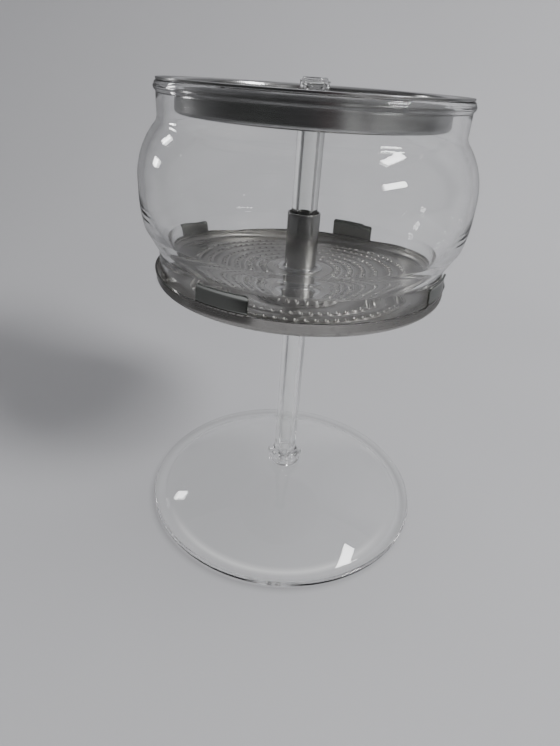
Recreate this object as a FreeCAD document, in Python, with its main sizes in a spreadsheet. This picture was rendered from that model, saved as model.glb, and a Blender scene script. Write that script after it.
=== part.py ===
"""Glass stove-top percolator insert: a pump stem on a domed foot carries a coffee basket.

Units are millimetres.  The origin is the centre of the foot's resting plane and +Z is up.
Every turned piece is an outline in the XZ plane, revolved about Z.  An outline's corners are
formulas of the sheet's sizes, so changing a cell changes the piece.
"""
import FreeCAD
import Part
import math
import os
import re
import Sketcher

SHEET = "sizes"

SIZES = {
    # pump stem and its domed foot
    "tube_od": 9.5,
    "tube_bore": 4.5,
    "stem_top": 174.1,
    "lip_radius": 5.1,
    "lip_bore_radius": 3.1,
    "lip_flare": 3.4,
    "foot_radius": 60.8,
    "foot_wall": 2.1,
    "ground_inner": 55.6,
    "ground_outer": 57.2,
    "dome_rise": 15.2,
    "brim_angle": 20.0,
    "valley_round": 1.6,
    "knop_radius": 6.4,
    "knop_rise": 24.2,
    "knop_bulge": 5.2,
    "lobe_count": 6,
    "lobe_place": 5.2,
    "lobe_radius": 2.7,
    "lobe_level": 20.6,
    "rest_radius": 6.7,
    "rest_top": 105.15,
    "rest_height": 3.0,
    "rest_swell": 2.2,
    "rest_round": 0.5,
    # sheet metal of the basket's bottom plate
    "plate_bottom": 105.9,
    "plate_sheet": 0.7,
    "rim_radius": 54.4,
    "rim_corner": 2.5,
    "rim_height": 5.1,
    "rim_flare": 0.35,
    "tab_count": 4,
    "tab_width": 19.4,
    "tab_bearing": -26.0,
    "tab_top": 117.0,
    "tab_waist": 115.2,
    "tab_lean": 0.55,
    "tab_flare": 0.8,
    "tab_round": 1.0,
    "hole_od": 1.1,
    "ridge_rise": 0.25,
    "ridge_flat": 1.2,
    "ridge_foot": 2.0,
    "ring_a": 15.0,
    "ring_b": 20.0,
    "ring_c": 25.0,
    "ring_d": 29.9,
    "ring_e": 36.0,
    "ring_f": 41.4,
    "holes_a": 29,
    "holes_b": 38,
    "holes_c": 48,
    "holes_d": 58,
    "holes_e": 72,
    "holes_f": 78,
    # centre sleeve that slides on the stem
    "sleeve_od": 12.1,
    "sleeve_wall": 0.6,
    "sleeve_top": 131.0,
    "collar_radius": 8.8,
    "collar_edge": 0.4,
    "collar_round": 1.2,
    "clinch_radius": 7.6,
    # glass basket wall, open at both ends
    "basket_wall": 2.1,
    "seat_gap": 0.1,
    "foot_ring_radius": 52.6,
    "waist_arc": 2.5,
    "flare_angle": 28.5,
    "crease_radius": 57.05,
    "crease_height": 126.5,
    "belly_radius": 58.3,
    "belly_low": 136.5,
    "belly_high": 141.5,
    "inner_foot_top": 114.5,
    "inner_belly_low": 137.0,
    "inner_waist_arc": 18.0,
    "shoulder_arc": 26.0,
    "neck_radius": 51.1,
    "neck_low": 161.0,
    "lip_bead": 0.4,
    "bead_low": 167.6,
    "basket_top": 170.7,
    # pan-shaped spreader cover
    "cover_sheet": 0.6,
    "cover_gap": 0.1,
    "flange_radius": 51.0,
    "pan_radius": 45.5,
    "pan_depth": 9.6,
    "pan_corner": 1.2,
    "flange_bend": 0.9,
    "eye_radius": 5.75,
    "eye_rise": 3.0,
    "eye_bend": 0.6,
    "drip_od": 1.5,
    "drip_first": 13.0,
    "drip_pitch": 7.0,
    "drip_rows": 4,
    "drip_step": 12,
}

# Sizes that follow from the driving ones.  Each is spelled out wherever an expression uses it.
FORMULAS = {
    "tube_radius": "(tube_od / 2)",
    "bore_radius": "(tube_bore / 2)",
    # the dome's underside is a sphere through the inside of the ground ring
    "dome_inner": "((ground_inner ^ 2 + dome_rise ^ 2) / (2 * dome_rise))",
    "dome_centre": "(dome_rise - dome_inner)",
    "dome_outer": "(dome_inner + foot_wall)",
    "dome_under_tube": "(dome_centre + sqrt(dome_inner ^ 2 - tube_radius ^ 2))",
    "dome_over_tube": "(dome_centre + sqrt(dome_outer ^ 2 - tube_radius ^ 2))",
    "dome_over_knop": "(dome_centre + sqrt(dome_outer ^ 2 - knop_radius ^ 2))",
    "brim_cos": "cos(brim_angle * 1 deg)",
    "brim_sin": "sin(brim_angle * 1 deg)",
    "brim_run": "(foot_radius - foot_wall / 2 - ground_outer + foot_wall / 2 * brim_sin)",
    "brim_end_height": "(brim_run * brim_sin / brim_cos)",
    "valley_radius": "(ground_outer - foot_wall * brim_sin)",
    "valley_height": "(dome_centre + sqrt(dome_outer ^ 2 - valley_radius ^ 2))",
    "plate_top": "(plate_bottom + plate_sheet)",
    "rim_top": "(plate_bottom + rim_height)",
    "wall_bottom": "(plate_bottom + rim_corner)",
    "wall_radius": "(rim_radius - rim_flare)",
    "inner_corner": "(rim_corner - plate_sheet)",
    "sleeve_radius": "(sleeve_od / 2)",
    "sleeve_bore": "(sleeve_radius - sleeve_wall)",
    "basket_bottom": "(plate_top + seat_gap)",
    "basket_round": "(basket_wall / 2)",
    # outside, the wall flares in a cone from the foot ring to a crease under the belly
    "flare_cos": "cos(flare_angle * 1 deg)",
    "flare_sin": "sin(flare_angle * 1 deg)",
    "waist_height": "(crease_height - (crease_radius - foot_ring_radius) * flare_cos / flare_sin)",
    "waist_cut": "(waist_arc * tan(flare_angle / 2 * 1 deg))",
    "crease_out": "(belly_radius - crease_radius)",
    "crease_up": "(belly_low - crease_height)",
    "low_arc": "((crease_out ^ 2 + crease_up ^ 2) / (2 * crease_out))",
    # inside, it swings between upright stretches in two arcs that meet at one slope
    "inner_foot": "(foot_ring_radius - basket_wall)",
    "inner_belly": "(belly_radius - basket_wall)",
    "low_out": "(inner_belly - inner_foot)",
    "low_up": "(inner_belly_low - inner_foot_top)",
    "inner_low_arc": "((low_out ^ 2 + low_up ^ 2) / (2 * low_out) - inner_waist_arc)",
    "low_turn": "(2 * atan(low_out / low_up))",
    "low_join_radius": "(inner_foot + inner_waist_arc * (1 - cos(low_turn)))",
    "low_join_height": "(inner_foot_top + inner_waist_arc * sin(low_turn))",
    # the shoulder is even, and also two arcs that meet at one slope
    "high_in": "(belly_radius - neck_radius)",
    "high_up": "(neck_low - belly_high)",
    "neck_arc": "((high_in ^ 2 + high_up ^ 2) / (2 * high_in) - shoulder_arc)",
    "high_turn": "(2 * atan(high_in / high_up))",
    "high_join_radius": "(neck_radius + neck_arc * (1 - cos(high_turn)))",
    "high_join_height": "(neck_low - neck_arc * sin(high_turn))",
    "bead_radius": "(neck_radius + lip_bead)",
    "cover_under": "(basket_top + cover_gap)",
    "cover_top": "(cover_under + cover_sheet)",
    "pan_under": "(cover_top - pan_depth)",
    "pan_floor": "(pan_under + cover_sheet)",
    "flange_round": "(cover_sheet / 2)",
    "eye_outer_bend": "(eye_bend + cover_sheet)",
}

HOLE_RINGS = "abcdef"
NEAR = 0.01


def spelled(formula):
    """Return a formula with each derived size spelled out and each cell given its sheet."""
    def word(match):
        name = match.group()
        if name in FORMULAS:
            return spelled(FORMULAS[name])
        if name in SIZES:
            return SHEET + "." + name
        return name
    return re.sub(r"\b[a-z]\w*\b", word, formula)


def make_sheet(doc):
    """Keep the driving dimensions in a spreadsheet, one alias per cell."""
    sheet = doc.addObject("Spreadsheet::Sheet", SHEET)
    for row, (alias, size) in enumerate(SIZES.items(), start=1):
        sheet.set("A%d" % row, alias)
        sheet.set("B%d" % row, str(size))
        sheet.setAlias("B%d" % row, alias)
    doc.recompute()
    return sheet


def value(owner, formula):
    """Work a formula out as a plain number."""
    answer = owner.evalExpression(spelled(formula))
    return float(getattr(answer, "Value", answer))


def new_body(doc, name):
    """Start a body whose label names its file."""
    body = doc.addObject("PartDesign::Body", name)
    body.Label = name
    return body


def origin_feature(body, role):
    """Find one of the body's own origin planes or axes by its role."""
    return next(item for item in body.Origin.OriginFeatures if item.Role == role)


def attach(item, body, role):
    """Lay a sketch or a primitive on one of its body's own origin planes."""
    item.AttachmentSupport = [(origin_feature(body, role), "")]
    item.MapMode = "FlatFace"


def new_sketch(body, name, role):
    """Start a sketch on one of the body's origin planes."""
    sketch = body.newObject("Sketcher::SketchObject", name)
    attach(sketch, body, role)
    return sketch


def arc_between(start, end, radius):
    """Return the shorter arc from start to end; a positive radius bows left of travel."""
    chord = end - start
    left = FreeCAD.Vector(-chord.y, chord.x, 0).normalize()
    middle = (start + end) * 0.5
    depth = math.sqrt(max(radius ** 2 - (chord.Length / 2) ** 2, 0.0))
    centre = middle - left * math.copysign(depth, radius)
    circle = Part.Circle(centre, FreeCAD.Vector(0, 0, 1), abs(radius))
    ends = [end, start] if radius > 0 else [start, end]
    first, last = (math.atan2(point.y - centre.y, point.x - centre.x) for point in ends)
    if last < first:
        last += 2 * math.pi
    return Part.ArcOfCircle(circle, first, last)


def draw_outline(sketch, corners):
    """Draw a closed outline whose every corner and arc is bound to the sheet.

    A corner is (across, up) or (across, up, arc): the arc is the radius of the stretch that
    leaves the corner, with a minus sign where it bows to the right of travel.
    """
    points = [
        FreeCAD.Vector(value(sketch, corner[0]), value(sketch, corner[1]), 0)
        for corner in corners
    ]
    constraints = []
    formulas = {}
    starts = []
    ends = []
    for index, corner in enumerate(corners):
        start = points[index]
        end = points[(index + 1) % len(points)]
        if len(corner) == 2:
            sketch.addGeometry(Part.LineSegment(start, end))
            starts.append((index, 1))
            ends.append((index, 2))
            continue
        radius = value(sketch, corner[2])
        sketch.addGeometry(arc_between(start, end, radius))
        starts.append((index, 2 if radius > 0 else 1))
        ends.append((index, 1 if radius > 0 else 2))
        formulas[len(constraints)] = corner[2] if radius > 0 else "-(%s)" % corner[2]
        constraints.append(Sketcher.Constraint("Radius", index, abs(radius)))
    for index, corner in enumerate(corners):
        before = ends[index - 1]
        after = starts[index]
        constraints.append(Sketcher.Constraint("Coincident", *before, *after))
        for kind, formula, size in (
            ("DistanceX", corner[0], points[index].x),
            ("DistanceY", corner[1], points[index].y),
        ):
            formulas[len(constraints)] = formula
            constraints.append(Sketcher.Constraint(kind, -1, 1, *after, size))
    sketch.addConstraint(constraints)
    for index, formula in formulas.items():
        sketch.setExpression("Constraints[%d]" % index, spelled(formula))


def revolve(body, name, corners, angle="360", bearing="0"):
    """Revolve an outline about Z: all the way, or as a sector centred on a bearing."""
    sketch = new_sketch(body, name + "_outline", "XZ_Plane")
    upright = FreeCAD.Vector(0, 1, 0)
    turn = FreeCAD.Rotation(upright, value(sketch, bearing))
    sketch.AttachmentOffset = FreeCAD.Placement(FreeCAD.Vector(), turn)
    sketch.setExpression("AttachmentOffset.Rotation.Angle", spelled(bearing))
    draw_outline(sketch, corners)
    feature = body.newObject("PartDesign::Revolution", name)
    feature.Profile = sketch
    feature.ReferenceAxis = (sketch, ["V_Axis"])
    feature.Midplane = angle != "360"
    feature.setExpression("Angle", spelled(angle))
    return feature


def repeat_round(body, name, feature, count):
    """Repeat a feature evenly about Z, as many times as the formula says."""
    pattern = body.newObject("PartDesign::PolarPattern", name)
    pattern.Originals = [feature]
    pattern.Axis = (origin_feature(body, "Z_Axis"), [""])
    pattern.Angle = 360
    pattern.setExpression("Occurrences", spelled(count))
    body.Tip = pattern
    return pattern


def fillet(body, name, feature, radius, wanted):
    """Round the edges of a feature that the test picks out."""
    body.Document.recompute()
    rounding = body.newObject("PartDesign::Fillet", name)
    rounding.Base = (feature, [
        "Edge%d" % number
        for number, edge_line in enumerate(feature.Shape.Edges, start=1)
        if wanted(edge_line)
    ])
    rounding.setExpression("Radius", spelled(radius))
    return rounding


def punch_ring(body, name, ring_radius, hole_od, count):
    """Punch one ring of round holes straight down through the sheet."""
    sketch = new_sketch(body, name + "_outline", "XY_Plane")
    centre = FreeCAD.Vector(value(sketch, ring_radius), 0, 0)
    radius = value(sketch, hole_od) / 2
    sketch.addGeometry(Part.Circle(centre, FreeCAD.Vector(0, 0, 1), radius))
    sketch.addConstraint([
        Sketcher.Constraint("Diameter", 0, 2 * radius),
        Sketcher.Constraint("DistanceX", -1, 1, 0, 3, centre.x),
        Sketcher.Constraint("PointOnObject", 0, 3, -1),
    ])
    sketch.setExpression("Constraints[0]", spelled(hole_od))
    sketch.setExpression("Constraints[1]", spelled(ring_radius))
    pocket = body.newObject("PartDesign::Pocket", name)
    pocket.Profile = sketch
    pocket.Type = "ThroughAll"
    pocket.Midplane = True
    return repeat_round(body, name + "_ring", pocket, count)


def pump_tube(doc):
    """Glass stem: a thick-walled tube, open below the dome, with a flared fire-polished lip."""
    body = new_body(doc, "pump_tube")
    mouth_round = "((lip_radius - lip_bore_radius) / 2)"
    revolve(body, "tube", [
        ("bore_radius", "dome_under_tube"),
        ("tube_radius", "dome_under_tube"),
        ("tube_radius", "stem_top - lip_flare"),
        ("lip_radius", "stem_top - " + mouth_round, mouth_round),
        ("lip_radius - " + mouth_round, "stem_top", mouth_round),
        ("lip_bore_radius", "stem_top - " + mouth_round),
        ("bore_radius", "stem_top - lip_flare"),
    ])
    return body


def pump_foot(doc):
    """Glass foot: a shallow dome with a flat ground ring and a thin upturned brim."""
    body = new_body(doc, "pump_foot")
    half_wall = "foot_wall / 2"
    edge = "(ground_outer + brim_run)"
    dome = revolve(body, "dome", [
        ("tube_radius", "dome_under_tube", "dome_inner"),
        ("ground_inner", "0"),
        ("ground_outer", "0"),
        (edge, "brim_end_height", "-" + half_wall),
        ("foot_radius", "brim_end_height + foot_wall * brim_cos / 2", "-" + half_wall),
        (edge + " - foot_wall * brim_sin", "brim_end_height + foot_wall * brim_cos"),
        ("valley_radius", "valley_height", "-dome_outer"),
        ("tube_radius", "dome_over_tube"),
    ])
    valley = value(body, "valley_radius")
    level = value(body, "valley_height")
    fillet(body, "valley", dome, "valley_round", lambda edge_line: (
        abs(edge_line.BoundBox.ZMax - level) < NEAR
        and abs(edge_line.BoundBox.XMax - valley) < NEAR
    ))
    return body


def weld_knop(doc):
    """Glass knop: the lobed gather that joins the stem to the foot."""
    body = new_body(doc, "weld_knop")
    revolve(body, "gather", [
        ("tube_radius", "dome_over_tube", "dome_outer"),
        ("knop_radius", "dome_over_knop", "-knop_bulge"),
        ("tube_radius", "knop_rise"),
    ])
    lobe = body.newObject("PartDesign::AdditiveSphere", "lobe")
    attach(lobe, body, "XY_Plane")
    lobe.setExpression("Radius", spelled("lobe_radius"))
    lobe.setExpression("AttachmentOffset.Base.x", spelled("lobe_place"))
    lobe.setExpression("AttachmentOffset.Base.z", spelled("lobe_level"))
    repeat_round(body, "lobes", lobe, "lobe_count")
    sketch = new_sketch(body, "stem_room_outline", "XZ_Plane")
    draw_outline(sketch, [
        ("0", "0"),
        ("tube_radius", "0"),
        ("tube_radius", "2 * knop_rise"),
        ("0", "2 * knop_rise"),
    ])
    stem_room = body.newObject("PartDesign::Groove", "stem_room")
    stem_room.Profile = sketch
    stem_room.ReferenceAxis = (sketch, ["V_Axis"])
    stem_room.Angle = 360
    return body


def stem_rest(doc):
    """Glass ring on the stem, under the sleeve, which carries the basket."""
    body = new_body(doc, "stem_rest")
    revolve(body, "ring", [
        ("tube_radius", "rest_top - rest_height", "-rest_swell"),
        ("rest_radius", "rest_top - 2 * rest_round"),
        ("rest_radius", "rest_top - rest_round", "-rest_round"),
        ("rest_radius - rest_round", "rest_top"),
        ("tube_radius", "rest_top"),
    ])
    return body


def floor_side(level, outward):
    """List the floor's corners at one level, with a flat-topped ridge under each hole ring."""
    corners = []
    for ring in HOLE_RINGS:
        for reach, rise in (
            ("- ridge_foot", ""),
            ("- ridge_flat", " + ridge_rise"),
            ("+ ridge_flat", " + ridge_rise"),
            ("+ ridge_foot", ""),
        ):
            corners.append(("ring_%s %s" % (ring, reach), level + rise))
    return corners if outward else corners[::-1]


def basket_base(doc):
    """Stamped aluminium plate: ridged and perforated floor, low rim and four spring tabs."""
    body = new_body(doc, "basket_base")
    revolve(body, "pan", [
        ("sleeve_radius", "plate_bottom"),
        *floor_side("plate_bottom", True),
        ("wall_radius - rim_corner", "plate_bottom", "-rim_corner"),
        ("wall_radius", "wall_bottom"),
        ("wall_radius - plate_sheet", "wall_bottom", "inner_corner"),
        ("wall_radius - rim_corner", "plate_top"),
        *floor_side("plate_top", False),
        ("sleeve_radius", "plate_top"),
    ])
    tab_angle = "(tab_width / wall_radius * 180 / pi)"
    lip = revolve(body, "lip", [
        ("wall_radius", "wall_bottom"),
        ("rim_radius", "rim_top"),
        ("rim_radius - plate_sheet", "rim_top"),
        ("wall_radius - plate_sheet", "wall_bottom"),
    ], "360 / tab_count - " + tab_angle, "tab_bearing + 180 / tab_count")
    repeat_round(body, "lips", lip, "tab_count")
    tab = revolve(body, "tab", [
        ("wall_radius", "wall_bottom"),
        ("wall_radius - tab_lean", "tab_waist"),
        ("wall_radius - tab_lean + tab_flare", "tab_top"),
        ("wall_radius - tab_lean + tab_flare - plate_sheet", "tab_top"),
        ("wall_radius - tab_lean - plate_sheet", "tab_waist"),
        ("wall_radius - plate_sheet", "wall_bottom"),
    ], tab_angle, "tab_bearing")
    tabs = repeat_round(body, "tabs", tab, "tab_count")
    top = value(body, "tab_top")
    sheet = value(body, "plate_sheet")
    fillet(body, "tab_corners", tabs, "tab_round", lambda edge_line: (
        edge_line.BoundBox.ZMin > top - NEAR and edge_line.Length < 2 * sheet
    ))
    for ring in HOLE_RINGS:
        punch_ring(body, "holes_" + ring, "ring_" + ring, "hole_od", "holes_" + ring)
    return body


def basket_sleeve(doc):
    """Aluminium sleeve: a tube with a collar on the floor, clinched over below it."""
    body = new_body(doc, "basket_sleeve")
    revolve(body, "sleeve", [
        ("sleeve_bore", "plate_bottom - sleeve_wall"),
        ("clinch_radius", "plate_bottom - sleeve_wall"),
        ("clinch_radius", "plate_bottom"),
        ("sleeve_radius", "plate_bottom"),
        ("sleeve_radius", "plate_top"),
        ("collar_radius", "plate_top"),
        ("collar_radius", "plate_top + collar_edge"),
        ("sleeve_radius + collar_round", "plate_top + collar_edge", "-collar_round"),
        ("sleeve_radius", "plate_top + collar_edge + collar_round"),
        ("sleeve_radius", "sleeve_top"),
        ("sleeve_bore", "sleeve_top"),
    ])
    return body


def basket_glass(doc):
    """Glass basket: a barrel-shaped wall, open at both ends, thickest at the crease under its belly."""
    body = new_body(doc, "basket_glass")
    revolve(body, "wall", [
        ("foot_ring_radius - basket_round", "basket_bottom", "-basket_round"),
        ("foot_ring_radius", "basket_bottom + basket_round"),
        ("foot_ring_radius", "waist_height - waist_cut", "waist_arc"),
        ("foot_ring_radius + waist_cut * flare_sin", "waist_height + waist_cut * flare_cos"),
        ("crease_radius", "crease_height", "-low_arc"),
        ("belly_radius", "belly_low"),
        ("belly_radius", "belly_high", "-shoulder_arc"),
        ("high_join_radius", "high_join_height", "neck_arc"),
        ("neck_radius", "neck_low"),
        ("neck_radius", "bead_low"),
        ("bead_radius", "bead_low + lip_bead"),
        ("bead_radius", "basket_top - basket_round", "-basket_round"),
        ("bead_radius - basket_round", "basket_top"),
        ("bead_radius - basket_wall", "basket_top - lip_bead"),
        ("neck_radius - basket_wall", "bead_low"),
        ("neck_radius - basket_wall", "neck_low", "-(neck_arc + basket_wall)"),
        (
            "high_join_radius - basket_wall * cos(high_turn)",
            "high_join_height - basket_wall * sin(high_turn)",
            "shoulder_arc - basket_wall",
        ),
        ("inner_belly", "belly_high"),
        ("inner_belly", "inner_belly_low", "inner_low_arc"),
        ("low_join_radius", "low_join_height", "-inner_waist_arc"),
        ("inner_foot", "inner_foot_top"),
        ("inner_foot", "basket_bottom + basket_round", "-basket_round"),
    ])
    return body


def spreader_cover(doc):
    """Aluminium spreader: a flanged pan with drip holes and a drawn eye round the stem."""
    body = new_body(doc, "spreader_cover")
    revolve(body, "pan", [
        ("eye_radius", "pan_under + eye_rise"),
        ("eye_radius", "pan_under + eye_outer_bend", "eye_outer_bend"),
        ("eye_radius + eye_outer_bend", "pan_under"),
        ("pan_radius - pan_corner", "pan_under", "-pan_corner"),
        ("pan_radius", "pan_under + pan_corner"),
        ("pan_radius", "cover_under - flange_bend", "flange_bend"),
        ("pan_radius + flange_bend", "cover_under"),
        ("flange_radius - flange_round", "cover_under", "-flange_round"),
        ("flange_radius", "cover_under + flange_round", "-flange_round"),
        ("flange_radius - flange_round", "cover_top"),
        ("pan_radius + flange_bend", "cover_top", "-(flange_bend + cover_sheet)"),
        ("pan_radius - cover_sheet", "cover_under - flange_bend"),
        ("pan_radius - cover_sheet", "pan_under + pan_corner", "pan_corner - cover_sheet"),
        ("pan_radius - pan_corner", "pan_floor"),
        ("eye_radius + eye_outer_bend", "pan_floor", "-eye_bend"),
        ("eye_radius + cover_sheet", "pan_floor + eye_bend"),
        ("eye_radius + cover_sheet", "pan_under + eye_rise"),
    ])
    for row in range(int(SIZES["drip_rows"])):
        punch_ring(
            body,
            "drips_%d" % (row + 1),
            "drip_first + %d * drip_pitch" % row,
            "drip_od",
            "%d * drip_step" % (row + 1),
        )
    return body


PIECES = (
    pump_tube,
    pump_foot,
    weld_knop,
    stem_rest,
    basket_base,
    basket_sleeve,
    basket_glass,
    spreader_cover,
)


def check(doc, bodies):
    """Stop if a feature failed or a sub-part isn't one sound solid."""
    failed = [item.Name for item in doc.Objects if {"Invalid", "Error"} & set(item.State)]
    if failed:
        raise RuntimeError("failed features: " + ", ".join(failed))
    for body in bodies:
        shape = body.Shape
        if shape.isNull() or not shape.isValid() or len(shape.Solids) != 1:
            raise RuntimeError("unsound sub-part: " + body.Label)


def main():
    """Build every sub-part and write one STEP file for each."""
    doc = FreeCAD.newDocument("percolator_insert")
    make_sheet(doc)
    bodies = [piece(doc) for piece in PIECES]
    doc.recompute()
    check(doc, bodies)
    os.makedirs("parts", exist_ok=True)
    for body in bodies:
        body.Placement = FreeCAD.Placement()
        body.Shape.exportStep(os.path.join("parts", body.Label + ".step"))
        box = body.Shape.BoundBox
        print("%-16s z %.2f..%.2f  r %.2f  volume %.0f mm3" % (
            body.Label, box.ZMin, box.ZMax, box.XMax, body.Shape.Volume))


main()
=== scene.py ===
"""Looks of the glass percolator insert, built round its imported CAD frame.

All lengths are metres in the frame's own axes: +Z up the stem, the viewer on the -Y side.
Turned pieces are outlines swept about Z.  Sheet pieces are mid-surface meshes with real holes,
thickened afterwards.
"""
import math

import bpy
from mathutils import Matrix, Vector


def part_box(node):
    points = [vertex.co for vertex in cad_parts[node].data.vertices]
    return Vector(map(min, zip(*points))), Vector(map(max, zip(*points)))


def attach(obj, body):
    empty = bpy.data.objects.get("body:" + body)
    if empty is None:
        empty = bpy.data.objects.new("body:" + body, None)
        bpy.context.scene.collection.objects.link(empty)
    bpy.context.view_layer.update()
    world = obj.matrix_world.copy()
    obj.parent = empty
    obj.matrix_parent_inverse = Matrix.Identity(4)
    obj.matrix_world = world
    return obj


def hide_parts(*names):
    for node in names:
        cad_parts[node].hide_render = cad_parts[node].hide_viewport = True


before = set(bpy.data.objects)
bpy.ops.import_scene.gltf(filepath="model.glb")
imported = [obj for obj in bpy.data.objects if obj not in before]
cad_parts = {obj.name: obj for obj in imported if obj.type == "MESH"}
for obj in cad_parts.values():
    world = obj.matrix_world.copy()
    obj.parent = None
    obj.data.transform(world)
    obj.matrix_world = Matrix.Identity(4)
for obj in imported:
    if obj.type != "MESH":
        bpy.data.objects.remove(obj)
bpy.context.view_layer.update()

MM = 0.001
TURN = 2 * math.pi


# ---------------------------------------------------------------- sizes from the frame

_, tube_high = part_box("pump_tube")
_, foot_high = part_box("pump_foot")
knop_low, knop_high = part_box("weld_knop")
rest_low, rest_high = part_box("stem_rest")
base_low, base_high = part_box("basket_base")
sleeve_low, sleeve_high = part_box("basket_sleeve")
wall_low, wall_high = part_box("basket_glass")
cover_low, cover_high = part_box("spreader_cover")

SMOOTH_ANGLE = math.radians(40)
TUBE_RADIUS = 4.75 * MM
BORE_RADIUS = 2.25 * MM
LIP_BORE_RADIUS = 3.1 * MM
LIP_FLARE = 3.4 * MM
KNOP_LOBES = 6
KNOP_SWELL = 0.28 * MM
FOOT_WALL = 2.1 * MM
GROUND_INNER = 55.6 * MM
GROUND_OUTER = 57.2 * MM
DOME_RISE = 15.2 * MM
BRIM_ANGLE = math.radians(20)
PLATE_SHEET = 0.7 * MM
PLATE_EDGE = 0.12 * MM
RIM_CORNER = 2.5 * MM
RIM_HEIGHT = 5.1 * MM
WALL_RADIUS = 54.05 * MM
RIM_FLARE = 0.35 * MM
TAB_WIDTH = 19.4 * MM
TAB_BEARING = math.radians(-26)
TAB_COUNT = 4
TAB_WAIST = 115.9 * MM
TAB_LEAN = 0.55 * MM
TAB_FLARE = 0.35 * MM
TAB_CORNER = 1.0 * MM
TAB_COLUMNS = 28
TAB_ROWS = 12
GAP_COLUMNS = 72
CORNER_STEPS = 6
HOLE_RADIUS = 0.55 * MM
HOLE_REACH = 1.25 * MM
HOLE_BURR = 0.2 * MM
RIDGE_RISE = 0.22 * MM
RIDGE_REACH = 1.7 * MM
# each ring of holes: its radius in mm and its number of holes
HOLE_RINGS = ((15.0, 29), (20.0, 38), (25.0, 48), (29.9, 58), (36.0, 72), (41.4, 78))
CELL_SIDES = 4
# round a hole, from the outside in: the share of the hole's radius and of the burr's height
BURR_PROFILE = ((1.6, 0.0), (1.3, 0.3), (1.1, 0.85), (1.0, 1.0))
SLEEVE_RADIUS = 6.05 * MM
SLEEVE_WALL = 0.6 * MM
BASKET_WALL = 2.1 * MM
COVER_SHEET = 0.6 * MM
COVER_EDGE = 0.14 * MM
PAN_RADIUS = 45.5 * MM
PAN_CORNER = 1.2 * MM
FLANGE_BEND = 0.9 * MM
EYE_RADIUS = 5.75 * MM
EYE_BEND = 0.9 * MM
DRIP_RADIUS = 0.75 * MM
DRIP_REACH = 1.5 * MM
DRIP_RINGS = ((13.0, 12), (20.0, 24), (27.0, 36), (34.0, 48))

BASE_FLOOR_MID = base_low.z + PLATE_SHEET / 2
BASE_WALL_MID = WALL_RADIUS - PLATE_SHEET / 2
BASE_WALL_LOW = base_low.z + RIM_CORNER
RIM_TOP = base_low.z + RIM_HEIGHT
HALF_TAB = TAB_WIDTH / 2 / WALL_RADIUS


# ---------------------------------------------------------------- outlines

def arc(start, end, radius, steps=12):
    """Points from start to end along the shorter arc; a positive radius bows left of travel."""
    chord = Vector(end) - Vector(start)
    left = Vector((-chord.y, chord.x)).normalized()
    middle = (Vector(start) + Vector(end)) / 2
    depth = math.sqrt(max(radius ** 2 - (chord.length / 2) ** 2, 0.0))
    centre = middle - left * math.copysign(depth, radius)
    first = math.atan2(start[1] - centre.y, start[0] - centre.x)
    last = math.atan2(end[1] - centre.y, end[0] - centre.x)
    sweep = (last - first + math.pi) % TURN - math.pi
    return [
        (
            centre.x + abs(radius) * math.cos(first + sweep * step / steps),
            centre.y + abs(radius) * math.sin(first + sweep * step / steps),
        )
        for step in range(1, steps + 1)
    ]


def outline(corners):
    """Turn corners (radius, height[, arc radius[, steps]]) into a closed ring of points."""
    points = [corners[0][:2]]
    for corner, after in zip(corners, corners[1:] + corners[:1]):
        if len(corner) > 2:
            points += arc(corner[:2], after[:2], *corner[2:])
        else:
            points.append(after[:2])
    return points[:-1]


def spread(points, longest):
    """Cut the straight stretches of an outline so that no stretch is longer than asked."""
    result = []
    for index, start in enumerate(points):
        end = points[(index + 1) % len(points)]
        length = math.dist(start, end)
        cuts = max(1, math.ceil(length / longest))
        for cut in range(cuts):
            share = cut / cuts
            result.append((
                start[0] + (end[0] - start[0]) * share,
                start[1] + (end[1] - start[1]) * share,
            ))
    return result


# ---------------------------------------------------------------- meshes

def new_piece(name, points, faces, smooth_angle=None):
    """Make a smooth-shaded mesh object, with sharp edges where it turns more than an angle."""
    mesh = bpy.data.meshes.new(name)
    mesh.from_pydata(points, [], faces)
    mesh.validate()
    mesh.update()
    piece = bpy.data.objects.new(name, mesh)
    bpy.context.scene.collection.objects.link(piece)
    if smooth_angle is None:
        mesh.shade_smooth()
    else:
        mesh.set_sharp_from_angle(angle=smooth_angle)
    return piece


def turned(name, points, segments, shape=None):
    """Sweep a closed outline about Z; shape(radius, height, angle) may vary the radius."""
    corners = []
    for segment in range(segments):
        angle = TURN * segment / segments
        for radius, height in points:
            if shape:
                radius = shape(radius, height, angle)
            corners.append((radius * math.cos(angle), radius * math.sin(angle), height))
    count = len(points)
    faces = []
    for segment in range(segments):
        here = segment * count
        there = (segment + 1) % segments * count
        for index in range(count):
            after = (index + 1) % count
            faces.append((here + index, there + index, there + after, here + after))
    return new_piece(name, corners, faces, SMOOTH_ANGLE)


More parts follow.
